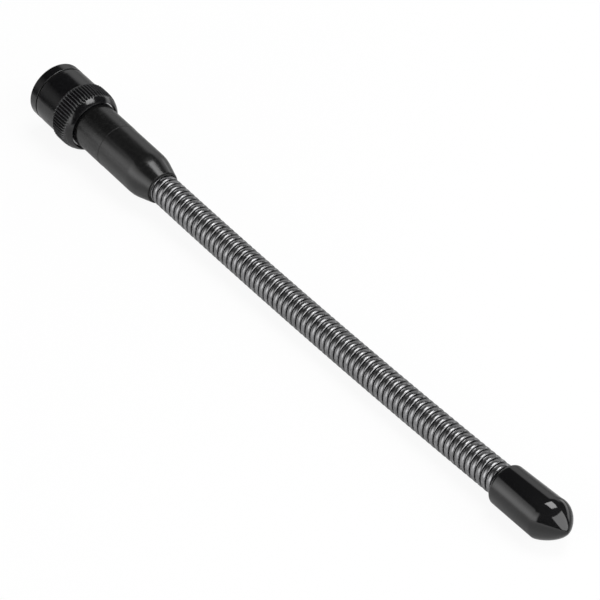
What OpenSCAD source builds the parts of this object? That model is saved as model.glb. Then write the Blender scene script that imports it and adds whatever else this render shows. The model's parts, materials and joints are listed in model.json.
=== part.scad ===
// Magnetic pickup tool: a magnet head with a knurled collar, a flexible two-wire neck and a domed tip cap.
// It lies on a surface, touching it with the knurl and the cap. +X runs from head to tip and +Z is up.
// Sizes are in millimetres and angles in degrees.

/* [Neck] */
// Outside diameter of the flexible neck
neck_d = 8; // [7.7:0.05:8.1]
// Length of neck from the end of the boot to just inside the cap's mouth
neck_len = 135.6; // [127.2:1.2:150]
// Bend of the whole neck as it lies
neck_bend = 4.6; // [2:0.2:8]
// Turns of the outer wire from one bending station to the next
turns_per_link = 6; // [5:1:6]
// Width of the outer wire, along the neck
wire_w = 1.36; // [1.1:0.02:1.36]
// Thickness of the outer wire, across the neck
wire_t = 1.0; // [0.8:0.05:1.05]

/* [Head] */
// Length from the magnet's face to the end of the boot
head_len = 49.5; // [49.5:0.1:54]
// Diameter of the front ring and of the smooth barrel
barrel_d = 16; // [15.8:0.1:16.6]
// Length of the front ring
front_ring_len = 2.75; // [2.2:0.05:3]
// Gap between the front ring and the turning collar
running_gap = 0.3; // [0.15:0.05:0.35]
// Diameter over the teeth of the knurl
knurl_d = 17.2; // [17:0.1:18]
// Number of teeth round the knurl
knurl_teeth = 60; // [40:4:72]
// Depth of the knurl's grooves
knurl_depth = 0.4; // [0.2:0.05:0.45]
// Where the knurl starts, from the magnet's face
knurl_start = 10.7; // [10.2:0.1:11]
// Length of the knurl at its full diameter
knurl_len = 5.1; // [4.8:0.1:6.4]
// Diameter of the magnet disc
magnet_d = 8.6; // [8:0.1:8.8]

/* [Boot] */
// Diameter of the socket sleeve between the collar and the boot
socket_d = 12.6; // [12.5:0.05:12.8]
// Diameter of the boot
boot_d = 12.5; // [12.3:0.05:12.6]
// Length of the boot, from its seam with the socket sleeve
boot_len = 20.5; // [20:0.1:21.5]
// Length of the boot's tapered end
taper_len = 6.4; // [6.2:0.1:8]
// Diameter of the boot's small end
boot_end_d = 9.1; // [8.7:0.05:9.2]

/* [Cap] */
// Diameter of the cap
cap_d = 10.9; // [10.7:0.1:11.5]
// Length of the cap's straight part
cap_straight = 14.6; // [14:0.1:16]
// Length of the cap's dome
dome_len = 6.8; // [6:0.1:7.5]
// Rounding of the cap's mouth
mouth_round = 0.9; // [0.6:0.1:1.1]

/* [Hidden] */
$fn = 96;

// Clearances: between fixed pieces, and between pieces that turn on each other
seat = 0.02;
run = 0.05;

// The neck is a chain of links: each holds one length of both wires, and bends at the stations between links
stations = 12;
links = stations + 1;
link_len = neck_len / stations;
wire_pitch = link_len / turns_per_link;
core_gap = 1.3;
neck_r = neck_d / 2;
wire_inner_r = neck_r - wire_t;
// The inner wire runs clear of the flat sides of the outer one
rings_per_turn = 8;
core_r = wire_inner_r * cos(180 / rings_per_turn) - 0.12;
core_bore_r = core_r - 0.8;
pin_r = core_bore_r - run;

// Head, from the magnet's face backwards
barrel_r = barrel_d / 2;
knurl_r = knurl_d / 2;
knurl_end = knurl_start + knurl_len;
knurl_lead = 0.8;
collar_front = front_ring_len + running_gap;
collar_slope_len = 2.55;
collar_end = knurl_end + collar_slope_len;
journal_r = 6.5;
collar_bore_r = journal_r + run;
edge = 0.3;
washer_t = 0.4;
washer_r = 7.35;
ring_t = 0.9;
ring_r = 7.1;
ring_seat_r = 5.8;
ring_at = collar_end - 2.1;
recess_r = ring_r + 0.1;
collar_rear_r = recess_r + 0.3;
land_end = collar_end - 0.5;
land_r = socket_d / 2 - run;
spigot_r = 4.6;
spigot_end = land_end + 7.4;
seal_at = 9;
seal_r = 0.5;
seal_groove_w = 1.3;
seal_mean_r = collar_bore_r - seal_r - 0.03;
magnet_r = magnet_d / 2;
magnet_t = 5;
spacer_r = magnet_r + 0.8;
pot_r = 5.9;
pot_len = 6.9;
pocket_len = pot_len + run;
stud_r = 1.5;
stud_from = 5.6;
stud_to = 12.5;

// Socket sleeve, boot and neck anchor
socket_r = socket_d / 2;
boot_r = boot_d / 2;
seam_at = head_len - boot_len;
socket_chamfer = 0.2;
socket_spigot_r = 5;
socket_spigot_end = seam_at + 4.7;
anchor_stud_r = 3;
anchor_shoulder = seam_at + 7.6;
anchor_r = 4.6;
wire_seat_r = neck_r + run;
wire_end = head_len - link_len / 2;
anchor_end = head_len - 3.1;
boot_end_r = boot_end_d / 2;
boot_mouth_r = neck_r + 0.2;
taper_angle = atan((boot_r - boot_end_r) / taper_len);
taper_round = 10;
taper_tangent = taper_round * tan(taper_angle / 2);
boot_thread_end = anchor_shoulder - 0.1;

// Cap and tip plug, from where that length of neck ends
cap_overlap = 1;
cap_r = cap_d / 2;
cap_wall = 1;
cap_bore_r = cap_r - cap_wall;
cap_lip_r = neck_r + 0.15;
mouth_at = mouth_round - cap_overlap;
cap_lip_end = mouth_at + 0.1;
plug_r = cap_bore_r - run;
plug_seat = link_len / 2 + 1;
pin_reach = 2;
dome_at = cap_straight - cap_overlap;
cap_bore_end = dome_at + 0.3;
// The dome runs out from full width to a blunt point, as [radius, place] at a share t of its length
dome_fullness = 1.63;
dome_bluntness = 0.73;
dome_points = 24;
function dome_point(t) = [cap_r * pow(1 - pow(t, dome_fullness), dome_bluntness), dome_at + dome_len * t];
dome_outline = [for (i = [0:dome_points]) dome_point(sin(90 * i / dome_points))];

// The head lies nose up by the angle at which both the knurl and the cap touch the surface
bend_r = neck_len / (neck_bend * PI / 180);
knurl_back = knurl_end - head_len;
cap_touch = [bend_r * sin(neck_bend) + mouth_at * cos(neck_bend) + cap_r * sin(neck_bend),
    bend_r * (1 - cos(neck_bend)) + mouth_at * sin(neck_bend) - cap_r * cos(neck_bend)];
head_pitch = -atan2(cap_touch[1] + knurl_r, cap_touch[0] - knurl_back);
tip_slope = head_pitch + neck_bend;

// The neck's centre line, as [x, z] from the end of the boot, at a distance s along it
function along(angle) = [cos(angle), sin(angle)];
function slope(s) = head_pitch + neck_bend * min(max(s / neck_len, 0), 1);
function arc_point(angle) = bend_r * [sin(angle) - sin(head_pitch), cos(head_pitch) - cos(angle)];
function line_point(s) = s <= 0 ? s * along(head_pitch)
    : s <= neck_len ? arc_point(slope(s))
    : arc_point(tip_slope) + (s - neck_len) * along(tip_slope);

// The part's origin is under its middle, on the surface that it lies on
left_end = -head_len * cos(head_pitch) + (barrel_r - edge) * sin(head_pitch);
right_end = line_point(neck_len + dome_at + dome_len)[0];
boot_end_at = [-(left_end + right_end) / 2, knurl_r * cos(head_pitch) - knurl_back * sin(head_pitch)];
function place(s) = line_point(s) + boot_end_at;

// A point at a distance s along the neck, r from its centre line, turned by angle from straight down
function round_point(s, r, angle) = [
    place(s)[0] + r * cos(angle) * sin(slope(s)),
    r * sin(angle),
    place(s)[1] - r * cos(angle) * cos(slope(s))
];

// Section of the outer wire, a wedge with its broad side out, as [radius, distance along the neck]
wire_section = [
    [neck_r, -0.3 * wire_w], [neck_r, 0.3 * wire_w], [neck_r - 0.35 * wire_t, wire_w / 2],
    [wire_inner_r, 0.2 * wire_w], [wire_inner_r, -0.2 * wire_w], [neck_r - 0.35 * wire_t, -wire_w / 2]
];
sides = len(wire_section);
rings = turns_per_link * rings_per_turn;
function link_start(i) = (i - 1.5) * link_len;
function wire_ring(i, j) = [
    for (p = wire_section)
        round_point(link_start(i) + wire_pitch * j / rings_per_turn + p[1], p[0], 360 * j / rings_per_turn)
];
function joined(lists) = [for (l = lists) for (p = l) p];

// Least gap between one turn of the outer wire and the next, measured on the points of one link
least_wire_gap = min([
    for (j = [0:rings - rings_per_turn - 1])
        for (k = [j + rings_per_turn - 1:j + rings_per_turn + 1])
            for (p = wire_ring(2, j))
                for (q = wire_ring(2, k)) norm(p - q)
]);
echo(least_wire_gap = least_wire_gap, head_pitch = head_pitch, boot_end_at = boot_end_at);

function numbered(name, i) = str(name, i < 10 ? "_0" : "_", i);

// Stands its children on the centre line at s, with their +Z along the neck towards the tip
module on_neck(s) {
    translate([place(s)[0], 0, place(s)[1]]) rotate([0, 90 - slope(s), 0]) children();
}

// Turned pieces of the head start at the magnet's face, and those of the tip where the length of neck ends
module on_head() {
    on_neck(-head_len) children();
}

module on_tip() {
    on_neck(neck_len) children();
}

module turned(points) {
    rotate_extrude() polygon(points);
}

// A band of a profile that curves in from r0 as a round of radius r, between two heights
module curved_band(r0, r, from, to) {
    intersection() {
        translate([r0 - r, from]) circle(r);
        translate([0, from]) square([r0, to - from]);
    }
}

module tube(r, bore, from, to) {
    turned([[bore, from], [r, from], [r, to], [bore, to]]);
}

module head_body() {
    color("#202124") on_head() turned([
        [pot_r + seat, 0], [barrel_r - edge, 0], [barrel_r, edge], [barrel_r, front_ring_len],
        [journal_r, front_ring_len], [journal_r, seal_at - seal_groove_w / 2],
        [seal_mean_r - seal_r - run, seal_at - seal_groove_w / 2],
        [seal_mean_r - seal_r - run, seal_at + seal_groove_w / 2],
        [journal_r, seal_at + seal_groove_w / 2], [journal_r, ring_at - run],
        [ring_seat_r, ring_at - run], [ring_seat_r, ring_at + ring_t + run],
        [land_r, ring_at + ring_t + run], [land_r, land_end], [spigot_r, land_end], [spigot_r, spigot_end],
        [0, spigot_end], [0, stud_to + run], [stud_r + seat, stud_to + run],
        [stud_r + seat, pocket_len], [pot_r + seat, pocket_len]
    ]);
}

// Straight knurl: teeth with flat crests and sharp grooves, led in at the front and sloped off at the back
module knurl() {
    step = 360 / knurl_teeth;
    crest = step / 6;
    tooth = [[knurl_r, -crest], [knurl_r, crest], [knurl_r - knurl_depth, step / 2]];
    intersection() {
        turned([[0, knurl_start], [barrel_r, knurl_start], [knurl_r, knurl_start + knurl_lead],
            [knurl_r, knurl_end], [collar_rear_r, collar_end], [0, collar_end]]);
        linear_extrude(collar_end) polygon([
            for (i = [0:knurl_teeth - 1])
                for (p = tooth) p[0] * [cos(i * step + p[1]), sin(i * step + p[1])]
        ]);
    }
}

module collar() {
    color("#1c1d20") on_head() difference() {
        union() {
            turned([
                [0, collar_front], [barrel_r - edge / 2, collar_front], [barrel_r, collar_front + edge / 2],
                [barrel_r, knurl_start + knurl_lead], [0, knurl_start + knurl_lead]
            ]);
            knurl();
        }
        cylinder(r = collar_bore_r, h = collar_end + 1);
        cylinder(r = washer_r + run, h = front_ring_len + washer_t + 2 * run);
        translate([0, 0, ring_at - run]) cylinder(r = recess_r, h = collar_end);
    }
}

module magnet_disc() {
    color("#b9bcc0") on_head() turned([[0, 0], [magnet_r - 0.15, 0], [magnet_r, 0.15],
        [magnet_r, magnet_t], [0, magnet_t]]);
}

module magnet_pot() {
    color("#8e9297") on_head() turned([
        [spacer_r + 2 * seat, 0], [pot_r - 0.2, 0], [pot_r, 0.2], [pot_r, pot_len], [stud_r + seat, pot_len],
        [stud_r + seat, magnet_t + seat], [spacer_r + 2 * seat, magnet_t + seat]
    ]);
}

module magnet_spacer() {
    color("#b08d4a") on_head() tube(spacer_r, magnet_r + seat, 0, magnet_t);
}

module pot_stud() {
    color("#9a9da1") on_head() translate([0, 0, stud_from]) cylinder(r = stud_r, h = stud_to - stud_from);
}

module thrust_washer() {
    color("#d8d4c8") on_head()
        tube(washer_r, journal_r + seat, front_ring_len + seat, front_ring_len + washer_t);
}

module seal_ring() {
    color("#151515") on_head() rotate_extrude() translate([seal_mean_r, seal_at]) circle(seal_r);
}

// Open ring, sprung into its groove, with the opening on the underside
module retaining_ring() {
    opening = 26;
    color("#c4c7ca") on_head() rotate([0, 0, opening / 2]) rotate_extrude(angle = 360 - opening)
        translate([ring_seat_r + seat, ring_at]) square([ring_r - ring_seat_r - seat, ring_t]);
}

module socket_sleeve() {
    color("#2a2b2d") on_head() turned([
        [spigot_r + seat, land_end + seat], [socket_r - socket_chamfer, land_end + seat],
        [socket_r, land_end + seat + socket_chamfer], [socket_r, seam_at - socket_chamfer],
        [socket_r - socket_chamfer, seam_at], [socket_spigot_r, seam_at],
        [socket_spigot_r, socket_spigot_end], [anchor_stud_r + seat, socket_spigot_end],
        [anchor_stud_r + seat, spigot_end + 0.2], [spigot_r + seat, spigot_end + 0.2]
    ]);
}

// Screwed into the socket sleeve, it takes the end of the neck between a cup and a pin
module neck_anchor() {
    color("#85888c") on_head() turned([
        [0, spigot_end + 0.8], [anchor_stud_r, spigot_end + 0.8], [anchor_stud_r, anchor_shoulder],
        [anchor_r, anchor_shoulder], [anchor_r, anchor_end], [wire_seat_r, anchor_end],
        [wire_seat_r, wire_end - 1], [pin_r, wire_end - 1], [pin_r, head_len - pin_reach],
        [0, head_len - pin_reach]
    ]);
}

module boot() {
    round_from = head_len - taper_len - taper_tangent;
    round_to = round_from + taper_round * sin(taper_angle);
    round_to_r = boot_r - taper_round * (1 - cos(taper_angle));
    front = seam_at + seat;
    color("#2c2d2f") on_head() difference() {
        rotate_extrude() {
            polygon([[0, front], [boot_r - socket_chamfer, front], [boot_r, front + socket_chamfer],
                [boot_r, round_from], [0, round_from]]);
            curved_band(boot_r, taper_round, round_from, round_to);
            polygon([[0, round_to], [round_to_r, round_to], [boot_end_r, head_len], [0, head_len]]);
        }
        cylinder(r = boot_mouth_r, h = head_len + 1);
        cylinder(r = anchor_r + run, h = anchor_end + run);
        cylinder(r = socket_spigot_r + run, h = boot_thread_end);
    }
}

// One link's length of the outer wire: a single unbroken tube of wedge section, wound right-handed
module outer_wire(i) {
    points = joined([for (j = [0:rings]) wire_ring(i, j)]);
    walls = [
        for (j = [0:rings - 1])
            for (k = [0:sides - 1])
                let (a = j * sides + k, b = j * sides + (k + 1) % sides)
                    for (f = [[a, b, b + sides], [a, b + sides, a + sides]]) f
    ];
    last = rings * sides;
    ends = [for (k = [1:sides - 2]) for (f = [[0, k + 1, k], [last, last + k, last + k + 1]]) f];
    color("#77797d") polyhedron(points, concat(walls, ends));
}

// One link's length of the inner wire, as the tube that its close turns make
module inner_wire(i) {
    from = link_start(i) + core_gap / 2;
    length = link_len - core_gap;
    color("#55575a") on_neck(from + length / 2)
        translate([0, 0, -length / 2]) tube(core_r, core_bore_r, 0, length);
}

// A plug on the end of the neck: a pin inside the wires, a cup round them and a dome that fills the cap
module tip_plug() {
    color("#85888c") on_tip() rotate_extrude() {
        polygon([
            [0, -pin_reach], [pin_r, -pin_reach], [pin_r, plug_seat], [wire_seat_r, plug_seat],
            [wire_seat_r, cap_lip_end], [plug_r, cap_lip_end], [plug_r, dome_at], [0, dome_at]
        ]);
        curved_band(plug_r, plug_r, dome_at, dome_at + plug_r);
    }
}

module tip_cap() {
    mouth_r = cap_r - mouth_round;
    color("#141416") on_tip() rotate_extrude() difference() {
        union() {
            translate([0, -cap_overlap]) square([mouth_r, cap_straight]);
            translate([0, mouth_at]) square([cap_r, dome_at - mouth_at]);
            translate([mouth_r, mouth_at]) circle(mouth_round);
            polygon(concat([[0, dome_at]], dome_outline));
        }
        translate([0, -cap_overlap - 1]) square([cap_lip_r, cap_lip_end + cap_overlap + 1]);
        translate([0, mouth_at]) square([cap_bore_r, cap_bore_end - mouth_at]);
        curved_band(cap_bore_r, cap_bore_r, cap_bore_end, cap_bore_end + cap_bore_r);
    }
}

head_body();
collar();
magnet_disc();
magnet_pot();
magnet_spacer();
pot_stud();
thrust_washer();
seal_ring();
retaining_ring();
socket_sleeve();
neck_anchor();
boot();
tip_plug();
tip_cap();
for (i = [1:links]) outer_wire(i);
for (i = [1:links]) inner_wire(i);
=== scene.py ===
"""Dresses a magnetic pickup tool: black head, wound steel neck, dipped vinyl cap, and the studio round it.

Sizes in the classes are millimetres along each piece's own axis. Meshes are metres in the frame's axes.
"""

import json
import logging
import math
from abc import ABC, abstractmethod
from collections.abc import Callable, Sequence
from dataclasses import dataclass, field
from enum import Enum
from typing import Any, ClassVar

import bmesh
import bpy
from mathutils import Matrix, Vector


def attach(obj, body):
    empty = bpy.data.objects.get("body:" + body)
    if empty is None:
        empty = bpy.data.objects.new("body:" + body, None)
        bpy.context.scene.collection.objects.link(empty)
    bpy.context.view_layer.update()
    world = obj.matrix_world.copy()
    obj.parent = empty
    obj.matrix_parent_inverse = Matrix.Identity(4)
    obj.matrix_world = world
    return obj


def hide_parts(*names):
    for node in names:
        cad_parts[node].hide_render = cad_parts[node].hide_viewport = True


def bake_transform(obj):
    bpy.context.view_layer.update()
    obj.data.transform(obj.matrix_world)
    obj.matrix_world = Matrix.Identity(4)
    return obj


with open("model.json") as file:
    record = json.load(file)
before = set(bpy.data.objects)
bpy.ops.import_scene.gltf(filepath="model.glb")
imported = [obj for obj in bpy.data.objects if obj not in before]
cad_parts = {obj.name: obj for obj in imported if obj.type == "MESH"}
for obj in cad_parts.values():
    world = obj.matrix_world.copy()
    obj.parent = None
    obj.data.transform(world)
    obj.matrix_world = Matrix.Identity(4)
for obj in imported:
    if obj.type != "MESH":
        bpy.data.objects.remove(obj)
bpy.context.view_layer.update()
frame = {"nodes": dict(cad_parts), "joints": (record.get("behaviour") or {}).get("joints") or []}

MM = 0.001
# From the magnet's face to the end of the boot.
HEAD_LENGTH = 49.5
# Radius of the small ring that a turned piece ends in on its axis.
POLE_R = 0.05
# Distance from the ends of a rounded corner to its holding points, as a share of its radius and at most.
HOLD_SHARE, HOLD_MOST = 0.25, 0.4
# Points of a mesh that lie closer than this are merged.
MERGE_GAP = 0.0005 * MM
log = logging.getLogger("pickup_tool")

Colour = tuple[float, float, float]
Place = tuple[float, float, float]
Point = tuple[float, float]
Piece = bpy.types.Object
Tree = bpy.types.NodeTree
Socket = bpy.types.NodeSocket
Sockets = bpy.types.bpy_prop_collection


class Grain(Enum):
    """How a surface was made, which sets the marks on it."""

    TURNED = "turned on a lathe"
    MOULDED = "moulded or dipped"
    DRAWN = "drawn as wire"


class Ends(Enum):
    """How the two ends of a turned outline are closed."""

    LOOP = "the last ring joins the first"
    CAPPED = "a flat face on each end ring"


class Measure(Enum):
    """What a fade on the studio's walls runs along, in the direction that is looked in."""

    TURN = "degrees round the tool, from +X towards +Y"
    HEIGHT = "upward part, 1 being straight up"
    SIDE = "part along +X"


@dataclass(frozen=True)
class Corner:
    """One corner of a turned outline.

    Attributes:
        r: Distance from the axis.
        u: Place along the axis.
        rounding: Radius of the rounded corner.
    """

    r: float
    u: float
    rounding: float = 0.0


@dataclass(frozen=True)
class Fade:
    """A smooth change from one level to another.

    Attributes:
        low: Where it starts.
        high: Where it ends.
        start: Level up to its start.
        end: Level from its end on.
    """

    low: float
    high: float
    start: float = 0.0
    end: float = 1.0


def arc(centre: Point, radius: float, start: float, end: float, steps: int) -> list[Corner]:
    """Points of an outline on a round.

    Args:
        centre: Distance from the axis and place along it.
        radius: Radius of the round.
        start: First angle in degrees, 0 being straight out from the axis and 90 along it.
        end: Last angle in degrees.
        steps: Number of pieces that the round is cut into.

    Returns:
        The corners, first and last included.
    """
    angles = [math.radians(start + (end - start) * i / steps) for i in range(steps + 1)]
    return [Corner(centre[0] + radius * math.cos(a), centre[1] + radius * math.sin(a)) for a in angles]


def rounded(corners: Sequence[Corner], ends: Ends, step_deg: float = 9.0) -> list[Point]:
    """Rounds the corners of an outline, with a holding point on each side that keeps the flats flat.

    Args:
        corners: The outline's corners in order.
        ends: Whether the outline is a loop.
        step_deg: Largest turn between two points of a rounded corner.

    Returns:
        The outline's points, as distance from the axis and place along it.
    """
    points: list[Point] = []
    count = len(corners)
    for i, corner in enumerate(corners):
        at = Vector((corner.r, corner.u))
        at_end = ends is Ends.CAPPED and i in (0, count - 1)
        if at_end or corner.rounding == 0:
            points.append((at.x, at.y))
            continue
        before = corners[i - 1]
        after = corners[(i + 1) % count]
        back = (Vector((before.r, before.u)) - at).normalized()
        ahead = (Vector((after.r, after.u)) - at).normalized()
        half = back.angle(ahead) / 2
        reach = corner.rounding / math.tan(half)
        hold = reach + min(corner.rounding * HOLD_SHARE, HOLD_MOST)
        middle = at + (back + ahead).normalized() * (corner.rounding / math.sin(half))
        first = at + back * reach - middle
        turn = math.pi - 2 * half
        steps = max(2, math.ceil(math.degrees(turn) / step_deg))
        sign = 1 if first.x * (ahead - back).y - first.y * (ahead - back).x > 0 else -1
        points.append(tuple(at + back * hold))
        for k in range(steps + 1):
            a = sign * turn * k / steps
            points.append((middle.x + first.x * math.cos(a) - first.y * math.sin(a),
                           middle.y + first.x * math.sin(a) + first.y * math.cos(a)))
        points.append(tuple(at + ahead * hold))
    return points


@dataclass(frozen=True)
class NeckLine:
    """The tool's centre line: an upright arc along the neck, straight at both ends.

    Attributes:
        start: Where the neck leaves the boot.
        start_slope: Upward slope there, in radians.
        link: Length of neck from one bending station to the next, in metres.
        stations: Number of bending stations.
        curvature: Change of slope for each metre of neck.
    """

    start: Vector
    start_slope: float
    link: float
    stations: int
    curvature: float

    @classmethod
    def from_joints(cls, joints: Sequence[dict[str, Any]]) -> "NeckLine":
        """Reads the line from the places and axes of the frame's joints.

        Args:
            joints: The neck's joints in order, lifts and swings in turn.

        Returns:
            The centre line.
        """
        places = [Vector(joint["pos_m"]) for joint in joints]
        slopes = [math.atan2(-joint["axis"][0], joint["axis"][2]) for joint in joints[1::2]]
        link = sum((b - a).length for a, b in zip(places, places[1:])) / (len(places) - 1)
        curvature = (slopes[-1] - slopes[0]) / (2 * link * (len(slopes) - 1))
        first_lift, first_swing = 0.5 * link, 1.5 * link
        start_slope = slopes[0] - first_swing * curvature
        middle = start_slope + first_lift * curvature / 2
        start = places[0] - first_lift * Vector((math.cos(middle), 0, math.sin(middle)))
        return cls(start, start_slope, link, len(joints), curvature)

    @property
    def length(self) -> float:
        """Length of neck that shows, in metres."""
        return self.link * self.stations

    def slope(self, s: float) -> float:
        """Upward slope at a distance s along the neck, in radians."""
        return self.start_slope + self.curvature * min(max(s, 0), self.length)

    def point(self, s: float) -> Vector:
        """Point of the line.

        Args:
            s: Distance along the line from the end of the boot, in metres.

        Returns:
            The point in the frame.
        """
        on_arc = min(max(s, 0), self.length)
        mean = (self.start_slope + self.slope(on_arc)) / 2
        half = self.curvature * on_arc / 2
        chord = on_arc * (math.sin(half) / half if half else 1)
        past = s - on_arc
        end = self.slope(s)
        return (self.start + chord * Vector((math.cos(mean), 0, math.sin(mean)))
                + past * Vector((math.cos(end), 0, math.sin(end))))

    def stand(self, s: float) -> Matrix:
        """Matrix that stands a piece on the line, its +Z towards the tip and its +X downwards.

        Args:
            s: Distance along the line from the end of the boot, in metres.

        Returns:
            The matrix.
        """
        slope = self.slope(s)
        down = Vector((math.sin(slope), 0, -math.cos(slope)))
        along = Vector((math.cos(slope), 0, math.sin(slope)))
        turn = Matrix((down, Vector((0, 1, 0)), along)).transposed().to_4x4()
        return Matrix.Translation(self.point(s)) @ turn


class Bench:
    """Modelling moves, made with Blender's operators on one new mesh at a time."""

    @staticmethod
    def ring(name: str, sides: int, radius: float, **place: Any) -> Piece:
        """Starts a mesh with one ring of points and leaves it in edit mode.

        Args:
            name: Name of the piece.
            sides: Number of points.
            radius: Radius in metres.
            place: Location and rotation of the ring.

        Returns:
            The new object, in edit mode with everything selected.
        """
        bpy.ops.object.select_all(action="DESELECT")
        bpy.ops.mesh.primitive_circle_add(vertices=sides, radius=radius, enter_editmode=True, **place)
        piece = bpy.context.object
        piece.name = piece.data.name = name
        bpy.context.tool_settings.mesh_select_mode = (True, False, False)
        bpy.ops.mesh.select_all(action="SELECT")
        return piece

    @staticmethod
    def plane(name: str, side: float, **place: Any) -> Piece:
        """Starts a mesh with one square.

        Args:
            name: Name of the piece.
            side: Side of the square in metres.
            place: Location, rotation and mode of the square.

        Returns:
            The new object.
        """
        bpy.ops.object.select_all(action="DESELECT")
        bpy.ops.mesh.primitive_plane_add(size=side, **place)
        piece = bpy.context.object
        piece.name = piece.data.name = name
        return piece

    @staticmethod
    def select(piece: Piece, wanted: Callable[[Vector], bool]) -> None:
        """Selects the points of a mesh in edit mode by their place.

        Args:
            piece: The object in edit mode.
            wanted: Says whether the point at a place is selected.
        """
        sheet = bmesh.from_edit_mesh(piece.data)
        for vert in sheet.verts:
            vert.select_set(wanted(piece.matrix_world @ vert.co))
        sheet.select_flush_mode()
        bmesh.update_edit_mesh(piece.data)

    @staticmethod
    def close() -> None:
        """Merges doubles, fills open ends, points the faces outwards and leaves edit mode."""
        bpy.ops.mesh.select_all(action="SELECT")
        bpy.ops.mesh.remove_doubles(threshold=MERGE_GAP)
        bpy.ops.mesh.fill_holes(sides=0)
        bpy.ops.mesh.select_all(action="SELECT")
        bpy.ops.mesh.normals_make_consistent(inside=False)
        bpy.ops.object.mode_set(mode="OBJECT")

    @staticmethod
    def turn(name: str, corners: Sequence[Corner], ends: Ends, sides: int = 192) -> Piece:
        """Turns an outline round the Z axis by drawing a ring along it.

        Args:
            name: Name of the piece.
            corners: Outline of the piece in millimetres.
            ends: How the outline is closed.
            sides: Number of points round the axis.

        Returns:
            The piece, standing at the origin, in edit mode.
        """
        points = rounded(corners, ends)
        if ends is Ends.LOOP:
            points.append(points[0])
        piece = Bench.ring(name, sides, points[0][0] * MM, location=(0, 0, points[0][1] * MM))
        for (r0, u0), (r1, u1) in zip(points, points[1:]):
            bpy.ops.mesh.extrude_region_move(TRANSFORM_OT_translate={"value": (0, 0, (u1 - u0) * MM)})
            bpy.ops.transform.resize(value=(r1 / r0, r1 / r0, 1), center_override=(0, 0, 0))
        return piece

    @staticmethod
    def copy(piece: Piece, name: str) -> Piece:
        """Copies a piece with a mesh of its own.

        Args:
            piece: The piece to copy.
            name: Name of the copy.

        Returns:
            The copy, in the scene.
        """
        twin = piece.copy()
        twin.data = piece.data.copy()
        twin.name = twin.data.name = name
        bpy.context.scene.collection.objects.link(twin)
        return twin

    @staticmethod
    def settle(piece: Piece, place: Matrix, smooth_deg: float = 40.0) -> None:
        """Moves a finished piece to its place, puts that place in its mesh and smooths its shading.

        Args:
            piece: The piece, in object mode.
            place: Where it goes.
            smooth_deg: Edges sharper than this stay sharp.
        """
        bpy.ops.object.select_all(action="DESELECT")
        piece.select_set(True)
        bpy.context.view_layer.objects.active = piece
        piece.matrix_world = place @ piece.matrix_world
        bpy.ops.object.transform_apply(location=True, rotation=True, scale=True)
        bpy.ops.object.shade_smooth_by_angle(angle=math.radians(smooth_deg))


class NodeSheet:
    """A node tree that is laid out by short calls."""

    def __init__(self, tree: Tree) -> None:
        """Takes the tree that the calls add to."""
        self.tree = tree

    @classmethod
    def bare(cls, piece: Piece, name: str) -> "NodeSheet":
        """Gives a piece a new material with nothing in it but its output.

        Args:
            piece: The piece that wears the material.
            name: Name of the material.

        Returns:
            The sheet of the material.
        """
        made = bpy.data.materials.new(name)
        made.use_nodes = True
        made.node_tree.nodes.remove(made.node_tree.nodes["Principled BSDF"])
        piece.data.materials.append(made)
        return cls(made.node_tree)

    def link(self, value: Socket, node: bpy.types.Node, key: str | int) -> None:
        """Leads a value to an input of a node."""
        self.tree.links.new(value, node.inputs[key])

    def add(self, kind: str, feeds: dict[str | int, Any] | None = None, **settings: Any) -> bpy.types.Node:
        """Adds a node.

        Args:
            kind: Type of the node, without its ShaderNode prefix.
            feeds: Values or sockets for its inputs.
            settings: Its own settings.

        Returns:
            The node.
        """
        node = self.tree.nodes.new("ShaderNode" + kind)
        for key, value in settings.items():
            setattr(node, key, value)
        for key, value in (feeds or {}).items():
            if isinstance(value, Socket):
                self.link(value, node, key)
            else:
                node.inputs[key].default_value = value
        return node

    def axes(self, space: str) -> Sockets:
        """The three parts of a texture coordinate."""
        return self.add("SeparateXYZ", {0: self.add("TexCoord").outputs[space]}).outputs

    def math(self, operation: str, first: Any, *more: Any) -> Socket:
        """Adds a Math node for one value, or a chain of them for several.

        Args:
            operation: What the nodes do.
            first: Value or socket that they start from.
            more: Values or sockets that they take in one after the other.

        Returns:
            The result.
        """
        for second in more or (0.0,):
            first = self.add("Math", {0: first, 1: second}, operation=operation).outputs[0]
        return first

    def ramp(self, value: Any, fade: Fade) -> Socket:
        """Adds a smooth Map Range.

        Args:
            value: Value or socket that the fade runs along.
            fade: The fade.

        Returns:
            The level there.
        """
        feeds = {"Value": value, "From Min": fade.low, "From Max": fade.high,
                 "To Min": fade.start, "To Max": fade.end}
        return self.add("MapRange", feeds, interpolation_type="SMOOTHSTEP").outputs[0]

    def noise(self, place: Socket, scale: Any, detail: float) -> Socket:
        """Result of a noise in space."""
        return self.add("TexNoise", {"Vector": place, "Scale": scale, "Detail": detail}).outputs[0]

    def line_noise(self, place: Socket, detail: float) -> Socket:
        """Result of a noise along one value."""
        feeds = {"W": place, "Scale": 1.0, "Detail": detail}
        return self.add("TexNoise", feeds, noise_dimensions="1D").outputs[0]

    def mix(self, share: Any, first: Any, second: Any) -> Socket:
        """Result of a colour Mix node."""
        return self.add("Mix", {0: share, 6: first, 7: second}, data_type="RGBA").outputs[2]

    def glow(self, strength: Socket) -> Socket:
        """White light of some strength."""
        return self.add("Emission", {"Color": (1, 1, 1, 1), "Strength": strength}).outputs[0]

    def show(self, shader: Socket) -> None:
        """Leads a shader to the output of a material."""
        self.link(shader, self.tree.nodes["Material Output"], "Surface")


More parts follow.
